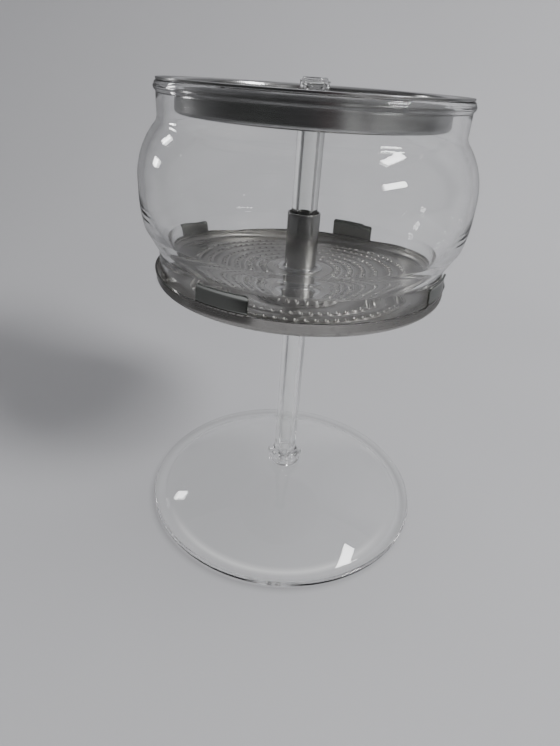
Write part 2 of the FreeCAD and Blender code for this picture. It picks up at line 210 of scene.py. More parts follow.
class SheetMesh:
    """A mid-surface being drawn ring by ring; height(radius) is the level of its floor."""

    def __init__(self, height):
        self.height = height
        self.points = []
        self.faces = []

    def put(self, radius, angle, height):
        """Add one point and return its number."""
        self.points.append((radius * math.cos(angle), radius * math.sin(angle), height))
        return len(self.points) - 1

    def add(self, radius, angle, lift=0.0):
        """Add one point of the floor, or a little above it, and return its number."""
        return self.put(radius, angle, self.height(radius) + lift)

    def circle(self, radius, count, height=None):
        """Add a full ring of points, on the floor or at a height; the first lies on +X."""
        if height is None:
            height = self.height(radius)
        return [self.put(radius, TURN * index / count, height) for index in range(count)]

    def stitch(self, inner, outer):
        """Fill the band between two full rings, which may differ in count."""
        a, b = 0, 0
        while a < len(inner) or b < len(outer):
            next_a = (a + 1) / len(inner)
            next_b = (b + 1) / len(outer)
            if len(inner) == len(outer):
                self.faces.append((
                    inner[a],
                    outer[a],
                    outer[(a + 1) % len(outer)],
                    inner[(a + 1) % len(inner)],
                ))
                a, b = a + 1, b + 1
            elif b >= len(outer) or (a < len(inner) and next_a <= next_b):
                self.faces.append((
                    inner[a % len(inner)],
                    outer[b % len(outer)],
                    inner[(a + 1) % len(inner)],
                ))
                a += 1
            else:
                self.faces.append((
                    inner[a % len(inner)],
                    outer[b % len(outer)],
                    outer[(b + 1) % len(outer)],
                ))
                b += 1

    def hole_ring(self, radius, count, hole_radius, reach, burr=0.0):
        """Draw a band of cells with a round hole in each; return its inner and outer rings.

        A burr raises the metal round each hole, as a punch leaves it.
        """
        sides = CELL_SIDES
        inner = self.circle(radius - reach, sides * count)
        outer = self.circle(radius + reach, sides * count)
        half = TURN / count / 2
        spokes = [
            [
                self.add(radius + reach * share, TURN * cell / count)
                for share in (-0.5, 0.0, 0.5)
            ]
            for cell in range(count)
        ]
        for cell in range(count):
            following = (cell + 1) % count
            centre = TURN * (cell + 0.5) / count
            rim = [inner[(cell * sides + step) % len(inner)] for step in range(sides + 1)]
            rim += spokes[following]
            rim += [
                outer[(cell * sides + sides - step) % len(outer)]
                for step in range(sides + 1)
            ]
            rim += spokes[cell][::-1]
            rounds = []
            for scale, lift in BURR_PROFILE:
                ring = []
                for point in rim:
                    x, y, _ = self.points[point]
                    out = math.hypot(x, y) - radius
                    angle = math.atan2(y, x)
                    across = ((angle - centre + math.pi) % TURN - math.pi) * radius
                    bearing = math.atan2(across / (half * radius), out / reach)
                    ring.append(self.add(
                        radius + hole_radius * scale * math.cos(bearing),
                        centre + hole_radius * scale * math.sin(bearing) / radius,
                        burr * lift,
                    ))
                rounds.append(ring)
            loops = [rim] + rounds
            for near, far in zip(loops, loops[1:]):
                for index in range(len(rim)):
                    after = (index + 1) % len(rim)
                    self.faces.append((near[index], near[after], far[after], far[index]))
        return inner, outer


def solidified(piece, thickness, bevel):
    """Thicken a mid-surface both ways, round its cut edges a little, and apply both."""
    thicken = piece.modifiers.new("sheet", "SOLIDIFY")
    thicken.thickness = thickness
    thicken.offset = 0
    thicken.use_even_offset = False
    edge = piece.modifiers.new("edge", "BEVEL")
    edge.width = bevel
    edge.segments = 2
    edge.limit_method = "ANGLE"
    edge.angle_limit = math.radians(50)
    edge.harden_normals = False
    shading = piece.modifiers.new("shading", "WEIGHTED_NORMAL")
    shading.keep_sharp = True
    graph = bpy.context.evaluated_depsgraph_get()
    mesh = bpy.data.meshes.new_from_object(piece.evaluated_get(graph))
    piece.modifiers.clear()
    piece.data = mesh
    return piece


# ---------------------------------------------------------------- glass pieces

def stem_outline():
    """One outline for the fused stem: lip, rest ring, knop, domed foot and brim."""
    top = tube_high.z
    lip = tube_high.x
    mouth = (lip - LIP_BORE_RADIUS) / 2
    edge = foot_high.x - FOOT_WALL / 2
    dome_inner = (GROUND_INNER ** 2 + DOME_RISE ** 2) / (2 * DOME_RISE)
    dome_centre = DOME_RISE - dome_inner
    dome_outer = dome_inner + FOOT_WALL

    def over(radius):
        return dome_centre + math.sqrt(dome_outer ** 2 - radius ** 2)

    def under(radius):
        return dome_centre + math.sqrt(dome_inner ** 2 - radius ** 2)

    sin, cos = math.sin(BRIM_ANGLE), math.cos(BRIM_ANGLE)
    run = edge - GROUND_OUTER + FOOT_WALL / 2 * sin
    brim_end = run * sin / cos
    brim_tip = (GROUND_OUTER + run - FOOT_WALL * sin, brim_end + FOOT_WALL * cos)
    valley = GROUND_OUTER - FOOT_WALL * sin
    valley_out = (valley + 1.0 * MM, over(valley) + 1.0 * MM * sin / cos)
    valley_in = (valley - 0.9 * MM, over(valley - 0.9 * MM))
    valley_arc = 1.9 * MM
    bore_arc = 1.2 * MM
    dome_start = TUBE_RADIUS + 2 * MM
    knop_radius = knop_high.x - 0.6 * MM
    knop_foot = 6.6 * MM
    knop_arc = 1.7 * MM
    weld_arc = 1.0 * MM
    weld_start = knop_foot + 0.9 * MM
    corners = [
        (BORE_RADIUS, under(TUBE_RADIUS) + bore_arc, -bore_arc, 6),
        (BORE_RADIUS + bore_arc, under(TUBE_RADIUS)),
        (dome_start, under(dome_start), dome_inner, 60),
        (GROUND_INNER, 0),
        (GROUND_OUTER, 0),
        (GROUND_OUTER + run, brim_end, -FOOT_WALL / 2, 10),
        (foot_high.x, brim_end + FOOT_WALL * cos / 2, -FOOT_WALL / 2, 10),
        brim_tip,
        valley_out + (valley_arc, 8),
        valley_in + (-dome_outer, 60),
        (weld_start, over(weld_start), weld_arc, 6),
        (knop_foot + 0.15 * MM, over(knop_foot) + weld_arc),
        (knop_radius, knop_low.z + 3.1 * MM, -knop_arc, 8),
        (knop_foot - 0.2 * MM, knop_high.z - knop_arc),
        (TUBE_RADIUS + 0.35 * MM, knop_high.z - 0.4 * MM, 2.0 * MM, 6),
        (TUBE_RADIUS, knop_high.z + 1.2 * MM),
        (TUBE_RADIUS, rest_low.z - 0.3 * MM, 1.6 * MM, 5),
        (TUBE_RADIUS + 0.5 * MM, rest_low.z + 0.7 * MM, -2.4 * MM, 8),
        (rest_high.x, rest_high.z - 1.0 * MM, -0.6 * MM, 6),
        (rest_high.x - 0.7 * MM, rest_high.z),
        (TUBE_RADIUS + 0.4 * MM, rest_high.z, 0.5 * MM, 4),
        (TUBE_RADIUS, rest_high.z + 0.5 * MM),
        (TUBE_RADIUS, top - LIP_FLARE, 6 * MM, 6),
        (lip, top - mouth, mouth, 10),
        (lip - mouth, top, mouth, 10),
        (LIP_BORE_RADIUS, top - mouth, 5 * MM, 6),
        (BORE_RADIUS, top - LIP_FLARE),
    ]
    return spread(outline(corners), longest=3 * MM)


def knop_lobes(radius, height, angle):
    """Swell the knop into the soft lobes its gather was pinched into."""
    low, high = knop_low.z, knop_high.z
    if not low < height < high or radius < TUBE_RADIUS * 1.01:
        return radius
    share = math.sin(math.pi * (height - low) / (high - low)) ** 2
    return radius + KNOP_SWELL * share * math.cos(KNOP_LOBES * angle)


def build_stem():
    """The fused glass pump, as one skin with no glass faces inside it."""
    piece = turned("pump_glass", stem_outline(), segments=288, shape=knop_lobes)
    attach(piece, "pump")
    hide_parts("pump_tube", "pump_foot", "weld_knop", "stem_rest")
    return piece


def wall_outline():
    """The barrel wall: a cone up to a soft crease, the belly, a shoulder and a beaded lip."""
    ring_radius = 52.6 * MM
    waist_arc = 2.5 * MM
    flare = math.radians(28.5)
    crease = Vector((57.05 * MM, 126.5 * MM))
    crease_arc = 4.0 * MM
    belly_low, belly_high = 136.5 * MM, 141.5 * MM
    inner_foot_top = 114.5 * MM
    inner_belly_low = 137.0 * MM
    inner_waist_arc = 18.0 * MM
    shoulder_arc = 26.0 * MM
    neck_radius = 51.1 * MM
    neck_low = 161.0 * MM
    bead = 0.4 * MM
    bead_low = 167.6 * MM
    belly = wall_high.x
    top, bottom = wall_high.z, wall_low.z
    thick = BASKET_WALL
    edge = thick / 2

    def swing(across, up):
        """The radius and the turn of an arc that leaves upright to reach (across, up)."""
        return (across ** 2 + up ** 2) / (2 * across), 2 * math.atan(across / up)

    waist_height = crease.y - (crease.x - ring_radius) / math.tan(flare)
    waist_cut = waist_arc * math.tan(flare / 2)
    low_arc, _ = swing(belly - crease.x, belly_low - crease.y)
    arrival = math.asin((belly_low - crease.y) / low_arc)
    crease_cut = crease_arc * math.tan((flare - arrival) / 2)
    crease_start = crease - crease_cut * Vector((math.sin(flare), math.cos(flare)))
    crease_end = crease + crease_cut * Vector((math.sin(arrival), math.cos(arrival)))
    inner_foot = ring_radius - thick
    both, low_turn = swing(belly - ring_radius, inner_belly_low - inner_foot_top)
    inner_low_arc = both - inner_waist_arc
    both, high_turn = swing(belly - neck_radius, neck_low - belly_high)
    neck_arc = both - shoulder_arc
    high_join = (
        neck_radius + neck_arc * (1 - math.cos(high_turn)),
        neck_low - neck_arc * math.sin(high_turn),
    )
    corners = [
        (ring_radius - edge, bottom, -edge, 8),
        (ring_radius, bottom + edge),
        (ring_radius, waist_height - waist_cut, waist_arc, 10),
        (
            ring_radius + waist_cut * math.sin(flare),
            waist_height + waist_cut * math.cos(flare),
        ),
        (crease_start.x, crease_start.y, -crease_arc, 6),
        (crease_end.x, crease_end.y, -low_arc, 14),
        (belly, belly_low),
        (belly, belly_high, -shoulder_arc, 26),
        high_join + (neck_arc, 20),
        (neck_radius, neck_low),
        (neck_radius, bead_low - 0.8 * MM, 1.2 * MM, 6),
        (neck_radius + bead, bead_low + bead, -1.2 * MM, 6),
        (neck_radius + bead, top - edge, -edge, 8),
        (neck_radius + bead - edge, top),
        (neck_radius - edge, top - 0.1 * MM, -(edge + bead), 8),
        (neck_radius - thick, top - bead - edge),
        (neck_radius - thick, neck_low, -(neck_arc + thick), 20),
        (
            high_join[0] - thick * math.cos(high_turn),
            high_join[1] - thick * math.sin(high_turn),
            shoulder_arc - thick,
            26,
        ),
        (belly - thick, belly_high),
        (belly - thick, inner_belly_low, inner_low_arc, 26),
        (
            inner_foot + inner_waist_arc * (1 - math.cos(low_turn)),
            inner_foot_top + inner_waist_arc * math.sin(low_turn),
            -inner_waist_arc,
            20,
        ),
        (inner_foot, inner_foot_top),
        (inner_foot, bottom + edge, -edge, 8),
    ]
    return spread(outline(corners), longest=2 * MM)


def build_wall():
    """The glass basket wall."""
    piece = turned("basket_wall_glass", wall_outline(), segments=360)
    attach(piece, "basket_wall")
    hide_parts("basket_glass")
    return piece


# ---------------------------------------------------------------- sheet metal pieces

def floor_height(radius):
    """Mid-surface of the base's floor: a soft ridge under each ring of holes."""
    lift = 0.0
    for ring, _ in HOLE_RINGS:
        away = abs(radius - ring * MM)
        if away < RIDGE_REACH:
            lift += RIDGE_RISE * (0.5 + 0.5 * math.cos(math.pi * away / RIDGE_REACH))
    return BASE_FLOOR_MID + lift


def tab_share(angle):
    """1 on a tab, 0 in a gap, easing over a short stretch beside the tab."""
    ease = 3 * MM
    away = abs((angle - TAB_BEARING + TURN / 8) % (TURN / TAB_COUNT) - TURN / 8)
    outside = min(max((away - HALF_TAB) * WALL_RADIUS / ease, 0.0), 1.0)
    return 1 - outside * outside * (3 - 2 * outside)


def tab_radius(height):
    """The tab leans in to its waist and then flares a little."""
    if height <= TAB_WAIST:
        share = (height - BASE_WALL_LOW) / (TAB_WAIST - BASE_WALL_LOW)
        return BASE_WALL_MID - TAB_LEAN * share
    share = (height - TAB_WAIST) / (base_high.z - TAB_WAIST)
    return BASE_WALL_MID - TAB_LEAN + TAB_FLARE * share


def rim_angles():
    """The rim's columns, closer together on a tab, so that they line up with its sides."""
    gap = TURN / TAB_COUNT - 2 * HALF_TAB
    angles = []
    for tab in range(TAB_COUNT):
        start = TAB_BEARING + tab * TURN / TAB_COUNT - HALF_TAB
        angles += [start + 2 * HALF_TAB * step / TAB_COLUMNS for step in range(TAB_COLUMNS)]
        angles += [
            start + 2 * HALF_TAB + gap * step / GAP_COLUMNS for step in range(GAP_COLUMNS)
        ]
    return angles


def draw_floor(sheet):
    """Draw the base's perforated floor; return its outermost ring and that ring's radius."""
    plain_radii = (8.0 * MM, 10.0 * MM, 12.0 * MM)
    plain_count = 96
    ring = sheet.circle(SLEEVE_RADIUS, plain_count)
    for ring_radius in plain_radii:
        following = sheet.circle(ring_radius, plain_count)
        sheet.stitch(ring, following)
        ring = following
    for radius, count in HOLE_RINGS:
        low, high = radius * MM - HOLE_REACH, radius * MM + HOLE_REACH
        for share in (0.35, 0.7):
            middle = sheet.circle(
                ring_radius + (low - ring_radius) * share, CELL_SIDES * count)
            sheet.stitch(ring, middle)
            ring = middle
        inner, outer = sheet.hole_ring(
            radius * MM, count, HOLE_RADIUS, HOLE_REACH, HOLE_BURR)
        sheet.stitch(ring, inner)
        ring, ring_radius = outer, high
    return ring, ring_radius


def draw_rim(sheet, floor_edge, edge_radius):
    """Draw the base's corner and low rim round its floor; return the rim's top ring."""
    angles = rim_angles()
    bend = RIM_CORNER - PLATE_SHEET / 2
    bend_steps = 10
    wall_steps = 4
    past_holes = 1.3 * MM
    plain_start, plain_end = WALL_RADIUS - 7.6 * MM, WALL_RADIUS - 5.2 * MM

    def ring_at(radius_of, height):
        return [sheet.put(radius_of(angle), angle, height) for angle in angles]

    middle = sheet.circle(edge_radius + past_holes, CELL_SIDES * HOLE_RINGS[-1][1])
    sheet.stitch(floor_edge, middle)
    ring = ring_at(lambda angle: plain_start, BASE_FLOOR_MID)
    # the floor's rings start on +X, so the first rim ring is stitched from its nearest column
    shift = round(-angles[0] / TURN * len(angles))
    sheet.stitch(middle, ring[shift:] + ring[:shift])
    rows = [(plain_end, BASE_FLOOR_MID)]
    for step in range(bend_steps + 1):
        angle = math.pi / 2 * step / bend_steps
        rows.append((
            BASE_WALL_MID - bend + bend * math.sin(angle),
            BASE_FLOOR_MID + bend - bend * math.cos(angle),
        ))
    for radius, height in rows:
        following = ring_at(lambda angle: radius, height)
        sheet.stitch(ring, following)
        ring = following
    for step in range(1, wall_steps + 1):
        share = step / wall_steps
        height = BASE_WALL_LOW + (RIM_TOP - BASE_WALL_LOW) * share

        def radius_of(angle):
            flared = BASE_WALL_MID + RIM_FLARE * share
            return flared + (tab_radius(height) - flared) * tab_share(angle)

        following = ring_at(radius_of, height)
        sheet.stitch(ring, following)
        ring = following
    return ring


def draw_tabs(sheet, rim):
    """Raise each tab from its own stretch of the rim's top edge to two rounded corners."""
    corner_low = base_high.z - TAB_CORNER
    heights = [
        RIM_TOP + (corner_low - RIM_TOP) * step / TAB_ROWS for step in range(1, TAB_ROWS + 1)
    ]
    heights += [
        corner_low + TAB_CORNER * math.sin(math.pi / 2 * step / CORNER_STEPS)
        for step in range(1, CORNER_STEPS + 1)
    ]
    for tab in range(TAB_COUNT):
        bearing = TAB_BEARING + tab * TURN / TAB_COUNT
        first = tab * (TAB_COLUMNS + GAP_COLUMNS)
        below = [rim[(first + step) % len(rim)] for step in range(TAB_COLUMNS + 1)]
        for height in heights:
            into = max(height - corner_low, 0.0)
            cut = TAB_CORNER - math.sqrt(max(TAB_CORNER ** 2 - into ** 2, 0.0))
            half = (TAB_WIDTH / 2 - cut) / WALL_RADIUS
            radius = tab_radius(height)
            above = [
                sheet.put(radius, bearing + (2 * step / TAB_COLUMNS - 1) * half, height)
                for step in range(TAB_COLUMNS + 1)
            ]
            for step in range(TAB_COLUMNS):
                sheet.faces.append((
                    below[step], below[step + 1], above[step + 1], above[step]))
            below = above


def build_base():
    """Stamped base: perforated ridged floor, low rim and four spring tabs."""
    sheet = SheetMesh(floor_height)
    floor_edge, edge_radius = draw_floor(sheet)
    draw_tabs(sheet, draw_rim(sheet, floor_edge, edge_radius))
    piece = new_piece("base_plate", sheet.points, sheet.faces)
    solidified(piece, PLATE_SHEET, PLATE_EDGE)
    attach(piece, "basket")
    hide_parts("basket_base")
    return piece


def build_sleeve():
    """Drawn sleeve: collar on the floor, clinched lip below it, square-cut rounded top."""
    inside = SLEEVE_RADIUS - SLEEVE_WALL
    mouth = 0.8 * MM
    floor_top = base_low.z + PLATE_SHEET
    collar = sleeve_high.x
    collar_bend = 1.2 * MM
    clinch = 7.6 * MM
    edge = 0.2 * MM
    gap = 0.02 * MM
    neck = SLEEVE_RADIUS - 0.05 * MM
    corners = [
        (inside, sleeve_low.z + mouth, mouth, 6),
        (inside + mouth, sleeve_low.z),
        (clinch - edge, sleeve_low.z, -edge, 4),
        (clinch, sleeve_low.z + edge),
        (clinch, base_low.z - gap),
        (neck, base_low.z - gap),
        (neck, floor_top + gap),
        (collar, floor_top + gap),
        (collar, floor_top + edge, -edge, 4),
        (collar - edge, floor_top + 2 * edge),
        (SLEEVE_RADIUS + collar_bend, floor_top + 2 * edge, collar_bend, 10),
        (SLEEVE_RADIUS, floor_top + 2 * edge + collar_bend),
        (SLEEVE_RADIUS, sleeve_high.z - edge, -edge, 5),
        (SLEEVE_RADIUS - edge, sleeve_high.z),
        (inside + edge, sleeve_high.z, -edge, 5),
        (inside, sleeve_high.z - edge),
    ]
    points = spread(outline(corners), longest=1.5 * MM)
    piece = turned("sleeve_tube", points, segments=128)
    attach(piece, "basket")
    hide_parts("basket_sleeve")
    return piece


def build_cover():
    """Spun spreader: perforated floor, drawn eye, upright wall and rolled-flat flange."""
    floor_mid = cover_low.z + COVER_SHEET / 2
    sheet = SheetMesh(lambda radius: floor_mid)
    eye_mid = EYE_RADIUS + COVER_SHEET / 2
    eye_count, pan_count = 96, 288
    eye_rows = [(eye_mid, cover_low.z + 3.0 * MM), (eye_mid, cover_low.z + 2.0 * MM)]
    for step in range(7):
        angle = math.pi / 2 * step / 6
        eye_rows.append((
            eye_mid + EYE_BEND * (1 - math.cos(angle)),
            floor_mid + EYE_BEND * (1 - math.sin(angle)),
        ))

    def draw_rows(ring, rows, count):
        """Stitch a circle on for each (radius, height) of rows; return the last one."""
        for radius, height in rows:
            following = sheet.circle(radius, count, height)
            if ring:
                sheet.stitch(ring, following)
            ring = following
        return ring

    ring = draw_rows(None, eye_rows, eye_count)
    ring_radius = eye_rows[-1][0]
    for radius, holes in DRIP_RINGS:
        low, high = radius * MM - DRIP_REACH, radius * MM + DRIP_REACH
        middle = sheet.circle((ring_radius + low) / 2, CELL_SIDES * holes)
        sheet.stitch(ring, middle)
        inner, outer = sheet.hole_ring(radius * MM, holes, DRIP_RADIUS, DRIP_REACH)
        sheet.stitch(middle, inner)
        ring, ring_radius = outer, high
    pan_mid = PAN_RADIUS - COVER_SHEET / 2
    corner = PAN_CORNER - COVER_SHEET / 2
    flange_mid = cover_high.z - COVER_SHEET / 2
    turn = FLANGE_BEND + COVER_SHEET / 2
    rows = [(PAN_RADIUS - 6.5 * MM, floor_mid), (PAN_RADIUS - 4.5 * MM, floor_mid)]
    for step in range(11):
        angle = math.pi / 2 * step / 10
        rows.append((
            pan_mid - corner + corner * math.sin(angle),
            floor_mid + corner - corner * math.cos(angle),
        ))
    rows.append((pan_mid, (floor_mid + corner + flange_mid - turn) / 2))
    for step in range(9):
        angle = math.pi / 2 * step / 8
        rows.append((
            pan_mid + turn - turn * math.cos(angle),
            flange_mid - turn + turn * math.sin(angle),
        ))
    rows += [(PAN_RADIUS + 3.5 * MM, flange_mid), (cover_high.x, flange_mid)]
    draw_rows(ring, rows, pan_count)
    piece = new_piece("cover_pan", sheet.points, sheet.faces)
    solidified(piece, COVER_SHEET, COVER_EDGE)
    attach(piece, "cover")
    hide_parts("spreader_cover")
    return piece


# ---------------------------------------------------------------- materials

GLASS_INDEX = 1.474
TAB_COLOUR = (0.42, 0.435, 0.41)
# painted shadow colour for the ring on the floor under the foot's edge
SHADE_COLOUR = (0.16, 0.16, 0.165)
# painted light colour for the caustic ring on the floor inside the foot
PAINTED_CAUSTIC_COLOUR = (0.8, 0.8, 0.8)
# painted dark colour that the floor takes on where it is seen in reflections
DIM_COLOUR = (0.03, 0.03, 0.03)


def new_material(name):
    """Start a node material and return it with its tree and Principled node."""
    material = bpy.data.materials.new(name)
    material.use_nodes = True
    tree = material.node_tree
    return material, tree, tree.nodes["Principled BSDF"]


def place(tree):
    """Object coordinates."""
    return tree.nodes.new("ShaderNodeTexCoord").outputs["Object"]


def noise(tree, vector, scale, detail=3.0, rough=0.5):
    """A noise value in 0..1."""
    node = tree.nodes.new("ShaderNodeTexNoise")
    node.inputs["Scale"].default_value = scale
    node.inputs["Detail"].default_value = detail
    node.inputs["Roughness"].default_value = rough
    tree.links.new(vector, node.inputs["Vector"])
    return node.outputs["Fac"]


def ramp(tree, value, low, high, start, end):
    """Map a value from low..high to start..end, held at the ends."""
    node = tree.nodes.new("ShaderNodeMapRange")
    node.inputs["From Min"].default_value = low
    node.inputs["From Max"].default_value = high
    node.inputs["To Min"].default_value = start
    node.inputs["To Max"].default_value = end
    tree.links.new(value, node.inputs["Value"])
    return node.outputs["Result"]


def calculate(tree, operation, first, second):
    """One step of arithmetic on sockets or plain numbers."""
    node = tree.nodes.new("ShaderNodeMath")
    node.operation = operation
    for socket, value in zip(node.inputs, (first, second)):
        if isinstance(value, (int, float)):
            socket.default_value = value
        else:
            tree.links.new(value, socket)
    return node.outputs["Value"]


def mix_colour(tree, share, first, second):
    """Mix two colours by a share; each colour is a tuple or a socket."""
    node = tree.nodes.new("ShaderNodeMix")
    node.data_type = "RGBA"
    tree.links.new(share, node.inputs["Factor"])
    for socket, colour in ((node.inputs["A"], first), (node.inputs["B"], second)):
        if isinstance(colour, tuple):
            socket.default_value = (*colour, 1.0)
        else:
            tree.links.new(colour, socket)
    return node.outputs["Result"]


def bump(tree, height, strength, distance):
    """Turn a height into a normal."""
    node = tree.nodes.new("ShaderNodeBump")
    node.inputs["Strength"].default_value = strength
    node.inputs["Distance"].default_value = distance
    tree.links.new(height, node.inputs["Height"])
    return node.outputs["Normal"]


def parts_of(tree, vector):
    """The X, Y and Z outputs of a vector."""
    split = tree.nodes.new("ShaderNodeSeparateXYZ")
    tree.links.new(vector, split.inputs["Vector"])
    return split.outputs


def around_axis(tree, vector):
    """Coordinates that don't change round the Z axis: (distance from it, 0, height)."""
    parts = parts_of(tree, vector)
    flat = tree.nodes.new("ShaderNodeCombineXYZ")
    tree.links.new(parts["X"], flat.inputs["X"])
    tree.links.new(parts["Y"], flat.inputs["Y"])
    length = tree.nodes.new("ShaderNodeVectorMath")
    length.operation = "LENGTH"
    tree.links.new(flat.outputs["Vector"], length.inputs[0])
    turned_place = tree.nodes.new("ShaderNodeCombineXYZ")
    tree.links.new(length.outputs["Value"], turned_place.inputs["X"])
    tree.links.new(parts["Z"], turned_place.inputs["Z"])
    return turned_place.outputs["Vector"]


def glass_material(name, tint, wave):
    """Clear hand-worked glass: a faint tint, slight waves and a few cleaning marks."""
    material, tree, shader = new_material(name)
    vector = place(tree)
    clouds = noise(tree, vector, 35.0, 2.0)
    clear = tuple(min(1.0, channel + 0.02) for channel in tint)
    tree.links.new(mix_colour(tree, clouds, tint, clear), shader.inputs["Base Color"])
    marks = noise(tree, vector, 240.0, 4.0, 0.6)
    tree.links.new(ramp(tree, marks, 0.62, 0.8, 0.0, 0.045), shader.inputs["Roughness"])
    waves = noise(tree, vector, 60.0, 1.0)
    tree.links.new(bump(tree, waves, wave, 0.4 * MM), shader.inputs["Normal"])
    shader.inputs["IOR"].default_value = GLASS_INDEX
    shader.inputs["Transmission Weight"].default_value = 1.0
    return material


def metal_material(name, colour, dark, roughness, groove, stain, brushed=0.0, polished=None):
    """Aluminium with fine grooves round its axis, worn patches and water stains.

    Above the height "polished" it is smoother and free of stains, as the spring tabs are.
    """
    material, tree, shader = new_material(name)
    vector = place(tree)
    rings = noise(tree, around_axis(tree, vector), 1800.0, 3.0, 0.7)
    patches = noise(tree, vector, 38.0, 4.0, 0.6)
    spots = noise(tree, vector, 210.0, 3.0, 0.65)
    stained = ramp(tree, spots, 0.60, 0.74, 0.0, stain)
    worn = mix_colour(tree, ramp(tree, patches, 0.3, 0.75, 0.0, 1.0), colour, dark)
    deep = tuple(channel * 0.55 for channel in dark)
    tint = mix_colour(tree, stained, worn, deep)
    rough = calculate(
        tree,
        "ADD",
        ramp(tree, rings, 0.2, 0.8, roughness - 0.04, roughness + 0.05),
        ramp(tree, patches, 0.35, 0.8, 0.0, 0.06),
    )
    if polished:
        height = parts_of(tree, vector)["Z"]
        share = ramp(tree, height, polished - 1 * MM, polished, 1.0, 0.45)
        rough = calculate(tree, "MULTIPLY", rough, share)
        tab = ramp(tree, height, polished + 0.1 * MM, polished + 0.6 * MM, 0.0, 1.0)
        tint = mix_colour(tree, tab, tint, TAB_COLOUR)
    tree.links.new(tint, shader.inputs["Base Color"])
    tree.links.new(rough, shader.inputs["Roughness"])
    tree.links.new(bump(tree, rings, groove, 0.05 * MM), shader.inputs["Normal"])
    shader.inputs["Metallic"].default_value = 1.0
    if brushed:
        shader.inputs["Anisotropic"].default_value = brushed
        shader.inputs["Anisotropic Rotation"].default_value = 0.25
        tangent = tree.nodes.new("ShaderNodeTangent")
        tangent.direction_type = "RADIAL"
        tangent.axis = "Z"
        tree.links.new(tangent.outputs["Tangent"], shader.inputs["Tangent"])
    return material


def in_reflection(tree):
    """1 for a ray that has been mirrored by the object and has not yet been scattered.

    A ray that has crossed just two or three glass faces has only turned round inside one
    wall of glass, and counts less, so that glass edges stay pale.
    """
    path = tree.nodes.new("ShaderNodeLightPath")
    mirrored = calculate(tree, "GREATER_THAN", path.outputs["Glossy Depth"], 0.5)
    unscattered = calculate(tree, "LESS_THAN", path.outputs["Diffuse Depth"], 0.5)
    # 0.5 for two or three faces crossed, and 1.5 or more for any other number
    faces_off = calculate(
        tree, "ABSOLUTE", calculate(tree, "SUBTRACT", path.outputs["Transmission Depth"], 2.5), 0)
    share = ramp(tree, faces_off, 0.9, 1.1, 0.35, 1.0)
    return calculate(tree, "MULTIPLY", calculate(tree, "MULTIPLY", mirrored, unscattered), share)


def foot_ring(tree, vector, middle, radius, width):
    """A soft ring on the floor: 1 at the radius, 0 a width away from it."""
    moved = tree.nodes.new("ShaderNodeVectorMath")
    moved.operation = "SUBTRACT"
    tree.links.new(vector, moved.inputs[0])
    moved.inputs[1].default_value = (*middle, 0.0)
    distance = parts_of(tree, around_axis(tree, moved.outputs["Vector"]))["X"]
    away = calculate(tree, "ABSOLUTE", calculate(tree, "SUBTRACT", distance, radius), 0)
    return calculate(tree, "POWER", ramp(tree, away, 0.0, width, 1.0, 0.0), 1.6)


def floor_material():
    """The pale grey studio floor, with a painted shadow and a painted caustic ring where the foot
    would cast them.

    Mirrored in the object, its front and sides are painted dark, a painted reflection of a dim
    room.
    """
    material, tree, shader = new_material("studio_floor")
    vector = place(tree)
    parts = parts_of(tree, vector)
    clouds = noise(tree, vector, 3.0, 3.0)
    pale = mix_colour(tree, clouds, (0.40, 0.40, 0.415), (0.46, 0.46, 0.475))
    # painted shadow: a dark ring on the floor just outside the foot's ground ring, standing in
    # for its contact shadow
    shade = foot_ring(tree, vector, (-1.2 * MM, -0.4 * MM), 60 * MM, 3.2 * MM)
    shaded = mix_colour(tree, calculate(tree, "MULTIPLY", shade, 0.45), pale, SHADE_COLOUR)
    # painted caustic: a light ring inside the foot, on its near side only, standing in for light
    # gathered by the glass
    near = ramp(tree, parts["Y"], -20 * MM, -45 * MM, 0.0, 0.6)
    painted_caustic = foot_ring(tree, vector, (-0.8 * MM, 0.0), 53 * MM, 3.0 * MM)
    lit = mix_colour(
        tree, calculate(tree, "MULTIPLY", painted_caustic, near), shaded, PAINTED_CAUSTIC_COLOUR)
    # painted shade, seen only in reflections: the floor's front and sides turn dark, a painted
    # reflection of a dim room
    front = ramp(tree, parts["Y"], -0.38, -0.22, 1.0, 0.0)
    left = ramp(tree, parts["X"], -0.22, -0.10, 0.74, 0.0)
    right = ramp(tree, parts["X"], 0.08, 0.22, 0.0, 0.7)
    edges = calculate(tree, "MAXIMUM", front, calculate(tree, "MAXIMUM", left, right))
    dim = calculate(tree, "MULTIPLY", edges, in_reflection(tree))
    tree.links.new(mix_colour(tree, dim, lit, DIM_COLOUR), shader.inputs["Base Color"])
    shader.inputs["Roughness"].default_value = 0.95
    shader.inputs["Specular IOR Level"].default_value = 0.1
    return material


def let_light_through(piece):
    """Keep clear glass from shading the floor and the pieces behind it."""
    piece.visible_shadow = False
    piece.visible_diffuse = False


def dress(piece, material):
    """Give a piece one material."""
    piece.data.materials.clear()
    piece.data.materials.append(material)


# ---------------------------------------------------------------- studio

def build_floor():
    """A pale floor that sweeps up into a backdrop behind the object."""
    width, front, back, height, bend = 3.0, -1.5, 0.55, 2.0, 0.35
    profile = [(front, 0.0), (0.0, 0.0), (back - bend, 0.0)]
    for step in range(1, 17):
        angle = math.pi / 2 * step / 16
        profile.append((
            back - bend + bend * math.sin(angle),
            bend - bend * math.cos(angle),
        ))
    profile.append((back, height))
    points = [(x, y, z) for y, z in profile for x in (-width, width)]
    faces = [
        (2 * index, 2 * index + 1, 2 * index + 3, 2 * index + 2)
        for index in range(len(profile) - 1)
    ]
    floor = new_piece("studio_floor", points, faces)
    dress(floor, floor_material())


